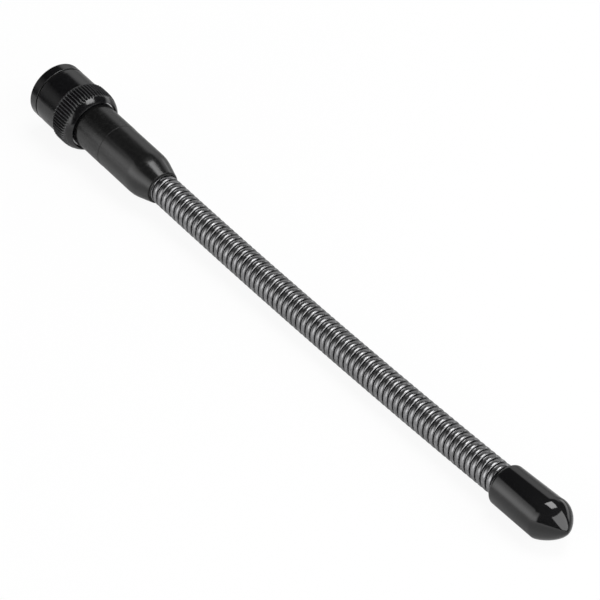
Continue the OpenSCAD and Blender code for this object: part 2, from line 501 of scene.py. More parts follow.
class Effects:
    """Shader node groups that several finishes use, each built once.

    Attributes:
        NOISE: Stretches the middle of a noise to the full range.
        EDGE: How pointed an outer edge is.
        BROKEN: How a noise breaks the edge_wear mask up.
        GROOVE_SHADE: Where the painted shade on the flank of a wire starts, 0 being its middle and 1 its
            side.
        SPOTS_PER_METRE: How close the spots of the edge_wear mask lie.
        DRIFT_PER_METRE: How often the lines along a wire drift sideways.
    """

    NOISE: ClassVar[Fade] = Fade(0.3, 0.7)
    EDGE: ClassVar[Fade] = Fade(0.52, 0.62)
    BROKEN: ClassVar[Fade] = Fade(0.35, 0.65, 0.2, 1.0)
    # Painted shade: the flanks of a wire are darkened towards its sides, where the grooves between turns lie.
    GROOVE_SHADE: ClassVar[Fade] = Fade(0.86, 1.0)
    SPOTS_PER_METRE: ClassVar[float] = 900.0
    DRIFT_PER_METRE: ClassVar[float] = 250.0

    def __init__(self) -> None:
        """Builds the groups."""
        self.lathe_marks = self._lathe_marks()
        self.mottle = self._mottle()
        self.edge_wear = self._edge_wear()
        self.die_lines_and_shade = self._die_lines_and_shade()

    @staticmethod
    def _start(name: str, inputs: Sequence[str],
               outputs: Sequence[str]) -> tuple[NodeSheet, Sockets, bpy.types.Node]:
        """Starts a group that takes a Vector and some values, and puts out values.

        Args:
            name: Name of the group.
            inputs: Name of each input value besides the Vector.
            outputs: Name of each output value.

        Returns:
            The sheet, what is put in and the output node.
        """
        tree = bpy.data.node_groups.new(name, "ShaderNodeTree")
        tree.interface.new_socket("Vector", in_out="INPUT", socket_type="NodeSocketVector")
        for side, labels in (("INPUT", inputs), ("OUTPUT", outputs)):
            for label in labels:
                tree.interface.new_socket(label, in_out=side, socket_type="NodeSocketFloat")
        return NodeSheet(tree), tree.nodes.new("NodeGroupInput").outputs, tree.nodes.new("NodeGroupOutput")

    def _lathe_marks(self) -> Tree:
        """Fine rings round the Z axis of its Vector, on walls and on end faces alike.

        Returns:
            The tree of the group.
        """
        sheet, given, out = self._start("lathe_marks", ["Per Metre"], ["Lines"])
        parts = sheet.add("SeparateXYZ", {0: given["Vector"]}).outputs
        flat = sheet.add("CombineXYZ", {0: parts[0], 1: parts[1]})
        radius = sheet.add("VectorMath", {0: flat.outputs[0]}, operation="LENGTH").outputs["Value"]
        count = sheet.math("MULTIPLY", sheet.math("ADD", parts[2], radius), given["Per Metre"])
        sheet.link(sheet.ramp(sheet.line_noise(count, detail=3.0), self.NOISE), out, "Lines")
        return sheet.tree

    def _mottle(self) -> Tree:
        """Soft unevenness at two scales, one ten times the other.

        Returns:
            The tree of the group.
        """
        sheet, given, out = self._start("mottle", ["Per Metre"], ["Fine", "Broad"])
        for label, share in (("Fine", 1.0), ("Broad", 0.1)):
            scale = sheet.math("MULTIPLY", given["Per Metre"], share)
            sheet.link(sheet.ramp(sheet.noise(given["Vector"], scale, detail=4.0), self.NOISE), out, label)
        return sheet.tree

    def _edge_wear(self) -> Tree:
        """Mask of outer edges, broken up unevenly, from how pointed the surface is.

        Returns:
            The tree of the group.
        """
        sheet, given, out = self._start("edge_wear", ["Pointed", "Amount"], ["Mask"])
        edge = sheet.ramp(given["Pointed"], self.EDGE)
        broken = sheet.ramp(sheet.noise(given["Vector"], self.SPOTS_PER_METRE, detail=5.0), self.BROKEN)
        sheet.link(sheet.math("MULTIPLY", edge, broken, given["Amount"]), out, "Mask")
        return sheet.tree

    def _die_lines_and_shade(self) -> Tree:
        """Die lines along a wire, and painted shade that darkens its flanks in the grooves between turns,
        both from the place across the wire.

        Returns:
            The tree of the group.
        """
        sheet, given, out = self._start("die_lines_and_shade", ["Across", "Count"], ["Lines", "Painted Groove Shade"])
        count = sheet.math("MULTIPLY", given["Across"], given["Count"])
        place = sheet.math("ADD", count, sheet.noise(given["Vector"], self.DRIFT_PER_METRE, detail=2.0))
        sheet.link(sheet.ramp(sheet.line_noise(place, detail=2.0), self.NOISE), out, "Lines")
        # Painted shade: the wire's flanks darken towards its sides, in the grooves between turns.
        sheet.link(sheet.ramp(sheet.math("ABSOLUTE", given["Across"]), self.GROOVE_SHADE), out, "Painted Groove Shade")
        return sheet.tree


@dataclass(frozen=True)
class Finish:
    """A surface finish, made as a procedural material.

    Attributes:
        SHADES: Darkest and lightest share of the base colour over the surface.
        name: Name of the material.
        slot: Slot of the record that it stands for; not used.
        colour: Base colour.
        abrasion_and_painted_light: Colour of abraded edges, of the painted highlight on the crests of teeth,
            and of the painted shade on the flanks of a wire.
        roughness: Lowest and highest roughness over the surface.
        grain: How the surface was made.
        marks_per_mm: How close the marks lie.
        marks_um: Depth of the marks in thousandths of a millimetre.
        metallic: 1 for bare metal, 0 for a black finish, plastic or rubber.
        abrasion_and_shade: Share of the second colour on abraded edges, and on the flanks of a wire, where it
            is painted shade.
        crests: Share of the second colour on the crests of teeth, which carry it as an attribute; there it is
            a painted highlight.
    """

    SHADES: ClassVar[tuple[float, float]] = (0.8, 1.2)

    name: str
    slot: str
    colour: Colour
    abrasion_and_painted_light: Colour
    roughness: tuple[float, float]
    grain: Grain
    marks_per_mm: float
    marks_um: float
    metallic: float = 0.0
    abrasion_and_shade: float = 0.3
    crests: float = 0.0

    def material(self, effects: Effects, stand: Matrix) -> bpy.types.Material:
        """Builds the material.

        Args:
            effects: The shared node groups.
            stand: Where the pieces that wear it stand, whose Z axis the lathe marks run round.

        Returns:
            The material.
        """
        made = bpy.data.materials.new(self.name)
        made.use_nodes = True
        sheet = NodeSheet(made.node_tree)
        surface = made.node_tree.nodes["Principled BSDF"]
        surface.inputs["Metallic"].default_value = self.metallic
        to_piece = stand.inverted()
        spot = sheet.add("Mapping", {"Vector": sheet.add("TexCoord").outputs["Object"],
                                     "Location": to_piece.to_translation(), "Rotation": to_piece.to_euler()})
        place = {"Vector": spot.outputs[0], "Per Metre": self.marks_per_mm / MM}
        mottle = sheet.add("Group", place, node_tree=effects.mottle).outputs
        marks, abrasion_and_painted_mask = self._marks(sheet, effects, place, mottle["Fine"])
        shades = [(*(share * c for c in self.colour), 1.0) for share in self.SHADES]
        shade = sheet.mix(mottle["Broad"], *shades)
        # The second colour goes on abraded edges, as a painted highlight along the knurl's crests, and as
        # painted shade on a wire's flanks.
        sheet.link(sheet.mix(abrasion_and_painted_mask, shade, (*self.abrasion_and_painted_light, 1.0)), surface, "Base Color")
        uneven = sheet.math("MULTIPLY", sheet.math("ADD", marks, mottle["Broad"]), 0.5)
        sheet.link(sheet.ramp(uneven, Fade(0.0, 1.0, *self.roughness)), surface, "Roughness")
        bump = sheet.add("Bump", {"Height": marks, "Distance": self.marks_um * MM * MM, "Strength": 1.0})
        sheet.link(bump.outputs[0], surface, "Normal")
        return made

    def _marks(self, sheet: NodeSheet, effects: Effects, place: dict[str, Any],
               fine: Socket) -> tuple[Socket, Socket]:
        """Adds the marks of the grain.

        Args:
            sheet: Sheet of the material.
            effects: The shared node groups.
            place: Place on the piece, and how many marks there are to a metre.
            fine: The surface's fine unevenness.

        Returns:
            The height of the marks, and the share of the second colour: on a drawn wire, painted shade on its
            flanks; otherwise abraded edges, together with the painted highlight on the crests of teeth.
        """
        if self.grain is Grain.DRAWN:
            across = sheet.add("Attribute", attribute_name="across").outputs["Fac"]
            feeds = {"Vector": place["Vector"], "Across": across, "Count": self.marks_per_mm}
            drawn = sheet.add("Group", feeds, node_tree=effects.die_lines_and_shade).outputs
            # Painted shade: a drawn wire's flanks take the darker second colour.
            return drawn["Lines"], sheet.math("MULTIPLY", drawn["Painted Groove Shade"], self.abrasion_and_shade)
        pointed = sheet.add("NewGeometry").outputs["Pointiness"]
        feeds = {"Vector": place["Vector"], "Pointed": pointed, "Amount": self.abrasion_and_shade}
        abrasion_and_painted_mask = sheet.add("Group", feeds, node_tree=effects.edge_wear).outputs["Mask"]
        # Painted highlight: the crests of the knurl's teeth take the lighter second colour.
        if self.crests:
            crest = sheet.add("Attribute", attribute_name="crest").outputs["Fac"]
            abrasion_and_painted_mask = sheet.math("MAXIMUM", abrasion_and_painted_mask, sheet.math("MULTIPLY", crest, self.crests))
        if self.grain is Grain.MOULDED:
            return fine, abrasion_and_painted_mask
        return sheet.add("Group", place, node_tree=effects.lathe_marks).outputs["Lines"], abrasion_and_painted_mask


PLATED_BLACK = Finish("plated_black", "black_metal", (0.004, 0.004, 0.0044), (0.03, 0.03, 0.033), (0.12, 0.2),
                      Grain.TURNED, marks_per_mm=14.0, marks_um=0.25)
# The collar's finish: abraded edges, and a lighter colour along the crests of the knurl's teeth that is a
# painted highlight.
ABRADED_BLACK_LIT_CRESTS = Finish("abraded_black_lit_crests", "black_metal", (0.004, 0.004, 0.0044), (0.05, 0.05, 0.052), (0.12, 0.2),
                    Grain.TURNED, marks_per_mm=14.0, marks_um=0.25, abrasion_and_shade=0.25, crests=1.0)
SATIN_SLEEVE = Finish("satin_sleeve", "satin_black", (0.005, 0.005, 0.005), (0.02, 0.02, 0.02), (0.22, 0.28),
                      Grain.TURNED, marks_per_mm=10.0, marks_um=0.3)
SATIN_BOOT = Finish("satin_boot", "satin_black", (0.007, 0.007, 0.007), (0.02, 0.02, 0.02), (0.2, 0.26),
                    Grain.TURNED, marks_per_mm=10.0, marks_um=0.3)
# On the wires the second colour is painted shade on the flanks, in the grooves between turns.
WIRE_STEEL = Finish("wire_steel", "wire_steel", (0.25, 0.25, 0.254), (0.05, 0.05, 0.052), (0.25, 0.31),
                    Grain.DRAWN, marks_per_mm=9.0, marks_um=0.08, metallic=1.0, abrasion_and_shade=0.6)
CORE_STEEL = Finish("core_steel", "core_steel", (0.2, 0.2, 0.204), (0.05, 0.05, 0.052), (0.24, 0.32),
                    Grain.DRAWN, marks_per_mm=7.0, marks_um=0.1, metallic=1.0, abrasion_and_shade=0.5)
RING_STEEL = Finish("ring_steel", "ring_steel", (0.72, 0.72, 0.73), (0.8, 0.8, 0.81), (0.12, 0.22),
                    Grain.TURNED, marks_per_mm=12.0, marks_um=0.5, metallic=1.0)
BLACK_VINYL = Finish("black_vinyl", "black_vinyl", (0.006, 0.006, 0.0063), (0.012, 0.012, 0.013), (0.05, 0.1),
                     Grain.MOULDED, marks_per_mm=1.2, marks_um=1.5, abrasion_and_shade=0.1)
NICKEL = Finish("nickel_plate", "nickel", (0.58, 0.57, 0.54), (0.5, 0.49, 0.46), (0.15, 0.3),
                Grain.TURNED, marks_per_mm=8.0, marks_um=0.3, metallic=1.0)
ZINC = Finish("zinc_plate", "zinc", (0.42, 0.43, 0.45), (0.55, 0.56, 0.58), (0.25, 0.42),
              Grain.TURNED, marks_per_mm=8.0, marks_um=1.5, metallic=1.0)
BRASS = Finish("brass", "brass", (0.58, 0.39, 0.15), (0.7, 0.52, 0.25), (0.22, 0.36),
               Grain.TURNED, marks_per_mm=10.0, marks_um=1.0, metallic=1.0)
PLAIN_STEEL = Finish("plain_steel", "plain_steel", (0.36, 0.37, 0.38), (0.5, 0.5, 0.51), (0.28, 0.42),
                     Grain.TURNED, marks_per_mm=8.0, marks_um=1.5, metallic=1.0)
WHITE_PLASTIC = Finish("white_plastic", "white_plastic", (0.62, 0.59, 0.52), (0.7, 0.68, 0.6), (0.35, 0.5),
                       Grain.MOULDED, marks_per_mm=3.0, marks_um=2.0)
SEAL_RUBBER = Finish("seal_rubber", "seal_rubber", (0.01, 0.01, 0.01), (0.03, 0.03, 0.03), (0.45, 0.6),
                     Grain.MOULDED, marks_per_mm=4.0, marks_um=3.0)


class Wardrobe:
    """Dresses pieces and nodes, and makes each finish once."""

    def __init__(self) -> None:
        """Builds the shared effects."""
        self.effects = Effects()
        self.made: dict[str, bpy.types.Material] = {}

    def dress(self, piece: Piece, finish: Finish, stand: Matrix) -> None:
        """Gives a piece or a node its finish.

        Args:
            piece: What is dressed.
            finish: The finish.
            stand: Where the first piece that wears it stands.
        """
        if finish.name not in self.made:
            self.made[finish.name] = finish.material(self.effects, stand)
        piece.data.materials.clear()
        piece.data.materials.append(self.made[finish.name])
        log.info("%s is finished in %s", piece.name, finish.name)


@dataclass
class Part(ABC):
    """A sub-assembly of the tool.

    Attributes:
        line: The tool's centre line.
        wardrobe: What dresses the pieces.
        stand: Where the pieces stand.
    """

    line: NeckLine
    wardrobe: Wardrobe
    stand: Matrix = field(init=False)

    @abstractmethod
    def build(self) -> None:
        """Builds and dresses every piece."""

    def turned(self, name: str, corners: Sequence[Corner], ends: Ends = Ends.LOOP) -> Piece:
        """Turns a plain piece and stands it in its place.

        Args:
            name: Name of the piece.
            corners: Its outline.
            ends: How the outline is closed.

        Returns:
            The finished piece.
        """
        piece = Bench.turn(name, corners, ends)
        Bench.close()
        Bench.settle(piece, self.stand)
        return piece

    def give(self, piece: Piece, finish: Finish, body: str, node: str) -> None:
        """Dresses a new piece, lets it ride on a body and stand for a node.

        Args:
            piece: The new piece.
            finish: Its finish.
            body: The body that it moves with.
            node: The node that it stands for.
        """
        self.wardrobe.dress(piece, finish, self.stand)
        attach(piece, body)
        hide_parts(node)


@dataclass
class Head(Part):
    """The head: front ring and spindle, magnet with its pot, turning collar and spring ring.

    Attributes:
        barrel_r: Radius of the front ring and of the smooth barrel.
        front_ring: Length of the front ring.
        gap: Gap between the front ring and the collar.
        knurl_r: Radius over the teeth.
        teeth: Number of teeth.
        tooth_points: Number of points from one tooth to the next.
        tooth_depth: Depth of the grooves between them.
        crest: Roundness of the teeth, 1 being a sharp crest and 2 an even wave.
        highlight_reach: How far down the teeth the painted highlight reaches, 1 being at their crests alone.
        knurl_start: Where the knurl starts.
        knurl_len: Length of the knurl at its full radius, with its lead.
        lead: Length of the knurl's lead at its front.
        back_round: Radius of the round that the collar's back follows.
        back_deg: How far it turns in along that round.
        nose: Length of the collar's drawn-in front.
        nose_drop: How far it is drawn in.
        washer_seat: How far the thrust washer's seat lies inside the barrel's radius, and its depth.
        journal_r: Radius of the spindle inside the collar.
        recess_r: Radius of the recess in the collar's back.
        ring: Inner and outer radius of the spring ring.
        ring_t: Thickness of the spring ring.
        ring_edge: Rounding of the spring ring's wire.
        ring_back: How far the spring ring lies inside the collar's rear edge.
        opening_deg: Opening of the spring ring.
        land_r: Radius of the land behind the spring ring.
        land_back: How far the land ends inside the collar's rear edge.
        spigot: Radius and length of the spigot behind the land.
        pot_r: Radius of the pot.
        pot_floor: Thickness of the pot's floor.
        stud_r: Radius of the stud's hole in that floor.
        spacer_r: Radius of the brass spacer.
        magnet_r: Radius of the magnet.
        magnet_t: Thickness of the magnet.
        magnet_gap: Gap between the magnet and the pot's floor.
        clear: Clearance between pieces that fit each other.
        play: Play between pieces that move, and behind the pot.
    """

    barrel_r: float = 8.0
    front_ring: float = 2.75
    gap: float = 0.3
    knurl_r: float = 8.6
    teeth: int = 60
    tooth_points: int = 12
    tooth_depth: float = 0.55
    crest: float = 1.5
    highlight_reach: float = 1.5
    knurl_start: float = 10.7
    knurl_len: float = 3.46
    lead: float = 0.8
    back_round: float = 6.9
    back_deg: float = 39.0
    nose: float = 1.3
    nose_drop: float = 0.05
    washer_seat: tuple[float, float] = (0.6, 0.2)
    journal_r: float = 6.5
    recess_r: float = 6.93
    ring: tuple[float, float] = (5.82, 6.9)
    ring_t: float = 0.9
    ring_edge: float = 0.2
    ring_back: float = 1.7
    opening_deg: float = 26.0
    land_r: float = 6.5
    land_back: float = 0.1
    spigot: tuple[float, float] = (4.6, 7.1)
    pot_r: float = 5.9
    pot_floor: float = 1.9
    stud_r: float = 1.52
    spacer_r: float = 5.1
    magnet_r: float = 4.3
    magnet_t: float = 5.0
    magnet_gap: float = 0.02
    clear: float = 0.03
    play: float = 0.05

    def __post_init__(self) -> None:
        """Works out the places that follow from the sizes."""
        self.stand = self.line.stand(-HEAD_LENGTH * MM)
        self.knurl_end = self.knurl_start + self.knurl_len
        self.collar_front = self.front_ring + self.gap
        turned_in = math.radians(self.back_deg)
        self.collar_end = self.knurl_end + self.back_round * math.sin(turned_in)
        self.rear_r = self.knurl_r - self.back_round * (1 - math.cos(turned_in))
        self.ring_at = self.collar_end - self.ring_back
        self.recess_end = self.ring_at - self.play
        self.land_end = self.collar_end - self.land_back
        self.pot_end = self.magnet_t + self.pot_floor
        self.root_r = self.knurl_r - self.tooth_depth

    def build(self) -> None:
        """Builds and dresses every piece of the head."""
        self.give(self.shell(), PLATED_BLACK, "head", "head_body")
        self.give(self.collar(), ABRADED_BLACK_LIT_CRESTS, "collar", "collar")
        self.give(self.spring_ring(), RING_STEEL, "head", "retaining_ring")
        self.give(self.magnet(), NICKEL, "head", "magnet_disc")
        self.give(self.pot(), ZINC, "head", "magnet_pot")
        self.give(self.spacer(), BRASS, "head", "magnet_spacer")
        for node, finish in (("pot_stud", PLAIN_STEEL), ("thrust_washer", WHITE_PLASTIC),
                             ("seal_ring", SEAL_RUBBER), ("neck_anchor", PLAIN_STEEL)):
            self.wardrobe.dress(frame["nodes"][node], finish, self.stand)

    def shell(self) -> Piece:
        """Front ring with the magnet's pocket, in one piece with the spindle.

        Returns:
            The finished piece.
        """
        pocket = self.pot_r + self.clear
        depth = self.pot_end + self.play
        groove_r = self.ring[0] - self.clear
        groove_end = self.ring_at + self.ring_t + self.play
        spigot_r = self.spigot[0]
        spigot_end = self.land_end + self.spigot[1]
        return self.turned("head_shell", [
            Corner(POLE_R, depth), Corner(pocket, depth), Corner(pocket, 0, 0.08),
            Corner(self.barrel_r, 0, 0.35), Corner(self.barrel_r, self.front_ring, 0.14),
            Corner(self.journal_r, self.front_ring), Corner(self.journal_r, self.recess_end),
            Corner(groove_r, self.recess_end), Corner(groove_r, groove_end),
            Corner(self.land_r, groove_end, 0.08), Corner(self.land_r, self.land_end),
            Corner(spigot_r, self.land_end), Corner(spigot_r, spigot_end), Corner(POLE_R, spigot_end)],
            Ends.CAPPED)

    def collar(self) -> Piece:
        """Turning collar with its band of straight knurl.

        Returns:
            The finished piece.
        """
        bore = self.journal_r + self.play
        seat_r = self.barrel_r - self.washer_seat[0]
        seat_end = self.collar_front + self.washer_seat[1]
        nose_r = self.barrel_r - self.nose_drop
        rise = (self.root_r - self.barrel_r) / (self.knurl_r - self.barrel_r)
        back = arc((self.knurl_r - self.back_round, self.knurl_end), self.back_round, 0, self.back_deg,
                   steps=16)
        piece = Bench.turn("grip_collar", [
            Corner(seat_r, self.collar_front, 0.05), Corner(nose_r, self.collar_front, 0.12),
            Corner(self.barrel_r, self.collar_front + self.nose, 0.1),
            Corner(self.barrel_r, self.knurl_start, 0.1),
            Corner(self.root_r, self.knurl_start + self.lead * rise),
            Corner(self.knurl_r, self.knurl_start + self.lead, 0.1), *back[:-1],
            Corner(self.rear_r, self.collar_end, 0.06), Corner(self.recess_r, self.collar_end, 0.04),
            Corner(self.recess_r, self.recess_end), Corner(bore, self.recess_end),
            Corner(bore, seat_end), Corner(seat_r, seat_end)],
            Ends.LOOP, sides=self.teeth * self.tooth_points)
        self._cut_teeth(piece)
        Bench.close()
        self._mark_crest_highlight(piece)
        Bench.settle(piece, self.stand, smooth_deg=50)
        return piece

    def _off_crest(self, at: Vector) -> float:
        """How far a place lies from the nearest crest, as a share of the step from tooth to tooth."""
        turn = math.atan2(at.y, at.x) / (2 * math.pi / self.teeth)
        return abs(turn - round(turn))

    def _cut_teeth(self, piece: Piece) -> None:
        """Draws the grooves of the knurl in, ring by ring, with narrow crests between them.

        Args:
            piece: The turned collar, in edit mode on the Z axis.
        """
        step = self.tooth_points
        same_ring = 0.0008
        shares = {k: math.sin(math.pi * k / step) ** self.crest for k in range(1, step // 2 + 1)}
        verts = bmesh.from_edit_mesh(piece.data).verts
        radii = dict.fromkeys(round(math.hypot(vert.co.x, vert.co.y) / MM, 4) for vert in verts)
        for r in [r for r in radii if r > self.root_r]:
            for place, share in shares.items():
                def in_groove(co: Vector, ring: float = r, spot: int = place) -> bool:
                    """Whether a point lies on this ring, at this place between two teeth."""
                    on_ring = abs(math.hypot(co.x, co.y) / MM - ring) <= same_ring
                    return on_ring and round(self._off_crest(co) * step) == spot
                Bench.select(piece, in_groove)
                scale = 1 - (r - self.root_r) * share / r
                bpy.ops.transform.resize(value=(scale, scale, 1), center_override=(0, 0, 0))

    def _mark_crest_highlight(self, piece: Piece) -> None:
        """Writes how near each point of the collar lies to the crest of a tooth, for the painted highlight
        along the crests.

        Args:
            piece: The collar with its teeth, in object mode on the Z axis.
        """
        nearness: list[float] = []
        band_start = self.knurl_start + self.lead / 2
        for vert in piece.data.vertices:
            at = piece.matrix_world @ vert.co
            off = math.sin(math.pi * self._off_crest(at)) ** self.crest
            high = (math.hypot(at.x, at.y) / MM - self.root_r) / self.tooth_depth
            on_band = at.z / MM > band_start and high > 0
            nearness.append((1 - off) ** 2 * min(high * self.highlight_reach, 1) if on_band else 0.0)
        # The crest attribute carries the painted highlight on the knurl's crests.
        crest = piece.data.attributes.new("crest", "FLOAT", "POINT")
        crest.data.foreach_set("value", nearness)

    def spring_ring(self) -> Piece:
        """Open ring of flat wire in the recess behind the collar, its opening on the underside.

        Returns:
            The finished piece.
        """
        inner, outer = self.ring
        middle = ((inner + outer) / 2 * MM, 0, (self.ring_at + self.ring_t / 2) * MM)
        piece = Bench.plane("spring_ring", MM, location=middle, rotation=(math.pi / 2, 0, 0),
                            enter_editmode=True)
        bpy.ops.transform.resize(value=(outer - inner, 1, self.ring_t), center_override=middle)
        bpy.ops.mesh.bevel(offset=self.ring_edge * MM, segments=4, affect="VERTICES")
        turn = math.radians(360 - self.opening_deg)
        bpy.ops.mesh.spin(steps=160, angle=turn, center=(0, 0, 0), axis=(0, 0, 1))
        Bench.close()
        Bench.settle(piece, self.stand @ Matrix.Rotation(math.radians(self.opening_deg / 2), 4, "Z"))
        return piece

    def magnet(self) -> Piece:
        """Magnet disc, flush with the face.

        Returns:
            The finished piece.
        """
        return self.turned("magnet_face", [
            Corner(POLE_R, 0), Corner(self.magnet_r, 0, 0.2), Corner(self.magnet_r, self.magnet_t, 0.2),
            Corner(POLE_R, self.magnet_t)], Ends.CAPPED)

    def pot(self) -> Piece:
        """Steel pot round the magnet and its spacer.

        Returns:
            The finished piece.
        """
        bore = self.spacer_r + self.clear
        floor = self.magnet_t + self.magnet_gap
        return self.turned("magnet_cup", [
            Corner(bore, 0, 0.05), Corner(self.pot_r, 0, 0.18), Corner(self.pot_r, self.pot_end, 0.1),
            Corner(self.stud_r, self.pot_end), Corner(self.stud_r, floor), Corner(bore, floor)])

    def spacer(self) -> Piece:
        """Brass spacer between magnet and pot.

        Returns:
            The finished piece.
        """
        bore = self.magnet_r + self.clear
        return self.turned("brass_spacer", [
            Corner(bore, 0, 0.06), Corner(self.spacer_r, 0, 0.06), Corner(self.spacer_r, self.magnet_t),
            Corner(bore, self.magnet_t)])


@dataclass
class Boot(Part):
    """The sleeve behind the collar and the tapered boot that holds the neck.

    Attributes:
        sleeve_start: Where the sleeve starts, behind the head's land.
        sleeve_r: Radius of the sleeve.
        bore_r: Radius of the sleeve's bore.
        spigot: Radius and length of the spigot that the boot sits on.
        stud_hole: Radius and length of the hole for the neck anchor's stud.
        boot_r: Radius of the boot.
        boot_len: Length of the boot from its seam with the sleeve.
        thread: Radius and length of the boot's thread.
        cup_r: Radius of the hollow that takes the neck anchor.
        cup_back: How far that hollow ends inside the boot.
        taper_len: Length of the tapered end.
        end_r: Radius of the small end.
        mouth_r: Radius of the mouth that the neck comes out of.
        lip: Radius and length of the black lip that ends the boot.
        seam_gap: Gap at the seam.
        seam_round: Rounding of both edges of the seam.
        taper_round: Rounding where the taper starts.
    """

    sleeve_start: float = 18.42
    sleeve_r: float = 6.3
    bore_r: float = 4.62
    spigot: tuple[float, float] = (5.0, 4.7)
    stud_hole: tuple[float, float] = (3.02, 7.9)
    boot_r: float = 6.25
    boot_len: float = 20.5
    thread: tuple[float, float] = (5.05, 7.5)
    cup_r: float = 4.65
    cup_back: float = 3.05
    taper_len: float = 6.4
    end_r: float = 4.55
    mouth_r: float = 4.1
    lip: tuple[float, float] = (4.27, 0.5)
    seam_gap: float = 0.02
    seam_round: float = 0.06
    taper_round: float = 10.0

    def __post_init__(self) -> None:
        """Works out the places that follow from the sizes."""
        self.stand = self.line.stand(-HEAD_LENGTH * MM)
        self.seam = HEAD_LENGTH - self.boot_len

    def build(self) -> None:
        """Builds and dresses the sleeve and the boot."""
        self.give(self.sleeve(), SATIN_SLEEVE, "head", "socket_sleeve")
        self.give(self.boot(), SATIN_BOOT, "head", "boot")

    def sleeve(self) -> Piece:
        """Sleeve between the collar and the seam, with the spigot that the boot sits on.

        Returns:
            The finished piece.
        """
        spigot_r = self.spigot[0]
        spigot_end = self.seam + self.spigot[1]
        hole_r = self.stud_hole[0]
        hole_start = spigot_end - self.stud_hole[1]
        return self.turned("neck_sleeve", [
            Corner(self.bore_r, self.sleeve_start), Corner(self.sleeve_r, self.sleeve_start, 0.22),
            Corner(self.sleeve_r, self.seam, self.seam_round), Corner(spigot_r, self.seam),
            Corner(spigot_r, spigot_end), Corner(hole_r, spigot_end),
            Corner(hole_r, hole_start), Corner(self.bore_r, hole_start)])

    def boot(self) -> Piece:
        """Boot with its tapered end.

        Returns:
            The finished piece.
        """
        front = self.seam + self.seam_gap
        taper_end = HEAD_LENGTH - self.lip[1]
        cup_end = HEAD_LENGTH - self.cup_back
        thread_r = self.thread[0]
        thread_end = self.seam + self.thread[1]
        return self.turned("taper_boot", [
            Corner(thread_r, front), Corner(self.boot_r, front, self.seam_round),
            Corner(self.boot_r, HEAD_LENGTH - self.taper_len, self.taper_round),
            Corner(self.end_r, taper_end, 0.15), Corner(self.lip[0], taper_end, 0.03),
            Corner(self.lip[0], HEAD_LENGTH, 0.06), Corner(self.mouth_r, HEAD_LENGTH, 0.04),
            Corner(self.mouth_r, cup_end), Corner(self.cup_r, cup_end), Corner(self.cup_r, thread_end),
            Corner(thread_r, thread_end)])


@dataclass(frozen=True)
class Wire:
    """One of the two wires of the neck.

    Attributes:
        NARROWING: Where the inner half narrows, as a share of the thickness below the middle, and the power
            of the root's share that it narrows by there.
        SAME_LEVEL: Distance in metres within which points lie on one level of the wire.
        name: Name of the coils made from it.
        node: Name of the nodes that the coils stand for.
        crest_r: Distance from the neck's centre line to the wire's crest.
        width: Width along the neck.
        thickness: Thickness across the neck.
        root: Width of the wire's inner side, as a share of its width.
        phase: Place of the wire's middle along the neck, as a share of a turn.
        section: Number of points round the wire.
        finish: Finish of the wire.
        crown: Squareness of the wire's outer half, 2 being round.
    """

    NARROWING: ClassVar[tuple[Point, Point]] = ((0.01, 0.4), (0.21, 0.6))
    SAME_LEVEL: ClassVar[float] = 0.001 * MM

    name: str
    node: str
    crest_r: float
    width: float
    thickness: float
    root: float
    phase: float
    section: int
    finish: Finish
    crown: float = 2.0

    def coil(self, name: str, pitch: float, turns: int, steps: int) -> Piece:
        """Winds a coil of the wire round the Z axis, from half its length below the origin to half above.

        Args:
            name: Name of the coil.
            pitch: Rise of one turn, in metres.
            turns: Number of turns.
            steps: Number of sections in one turn.

        Returns:
            The coil.
        """
        middle = (self.crest_r - self.thickness / 2) * MM
        low = (self.phase - turns / 2) * pitch
        centre = (middle, 0, low)
        # A ring of 1 mm across, stretched to the wire's thickness and width.
        piece = Bench.ring(name, self.section, MM / 2, location=centre, rotation=(math.pi / 2, 0, 0))
        bpy.ops.transform.resize(value=(self.thickness, 1, self.width), center_override=centre)
        for k in range(1, self.section // 4):
            out = math.cos(2 * math.pi * k / self.section)
            spread = (1 - out ** self.crown) ** (1 / self.crown) / math.sqrt(1 - out ** 2)
            level = middle + out * self.thickness / 2 * MM
            Bench.select(piece, lambda co, x=level: abs(co.x - x) < self.SAME_LEVEL)
            bpy.ops.transform.resize(value=(1, 1, spread), center_override=centre)
        for depth, power in self.NARROWING:
            limit = middle - depth * self.thickness * MM
            Bench.select(piece, lambda co, edge=limit: co.x < edge)
            bpy.ops.transform.resize(value=(1, 1, self.root ** power), center_override=centre)
        bpy.ops.object.mode_set(mode="OBJECT")
        bpy.ops.object.transform_apply(location=True, rotation=True, scale=True)
        across = piece.data.attributes.new("across", "FLOAT", "POINT")
        half = self.width * MM / 2
        across.data.foreach_set("value", [(v.co.z - low) / half for v in piece.data.vertices])
        screw = piece.modifiers.new("screw", "SCREW")
        screw.axis = "Z"
        screw.angle = 2 * math.pi
        screw.screw_offset = pitch
        screw.iterations = turns
        screw.steps = screw.render_steps = steps
        screw.use_normal_calculate = True
        bpy.ops.object.modifier_apply(modifier=screw.name)
        bpy.ops.object.mode_set(mode="EDIT")
        Bench.close()
        return piece


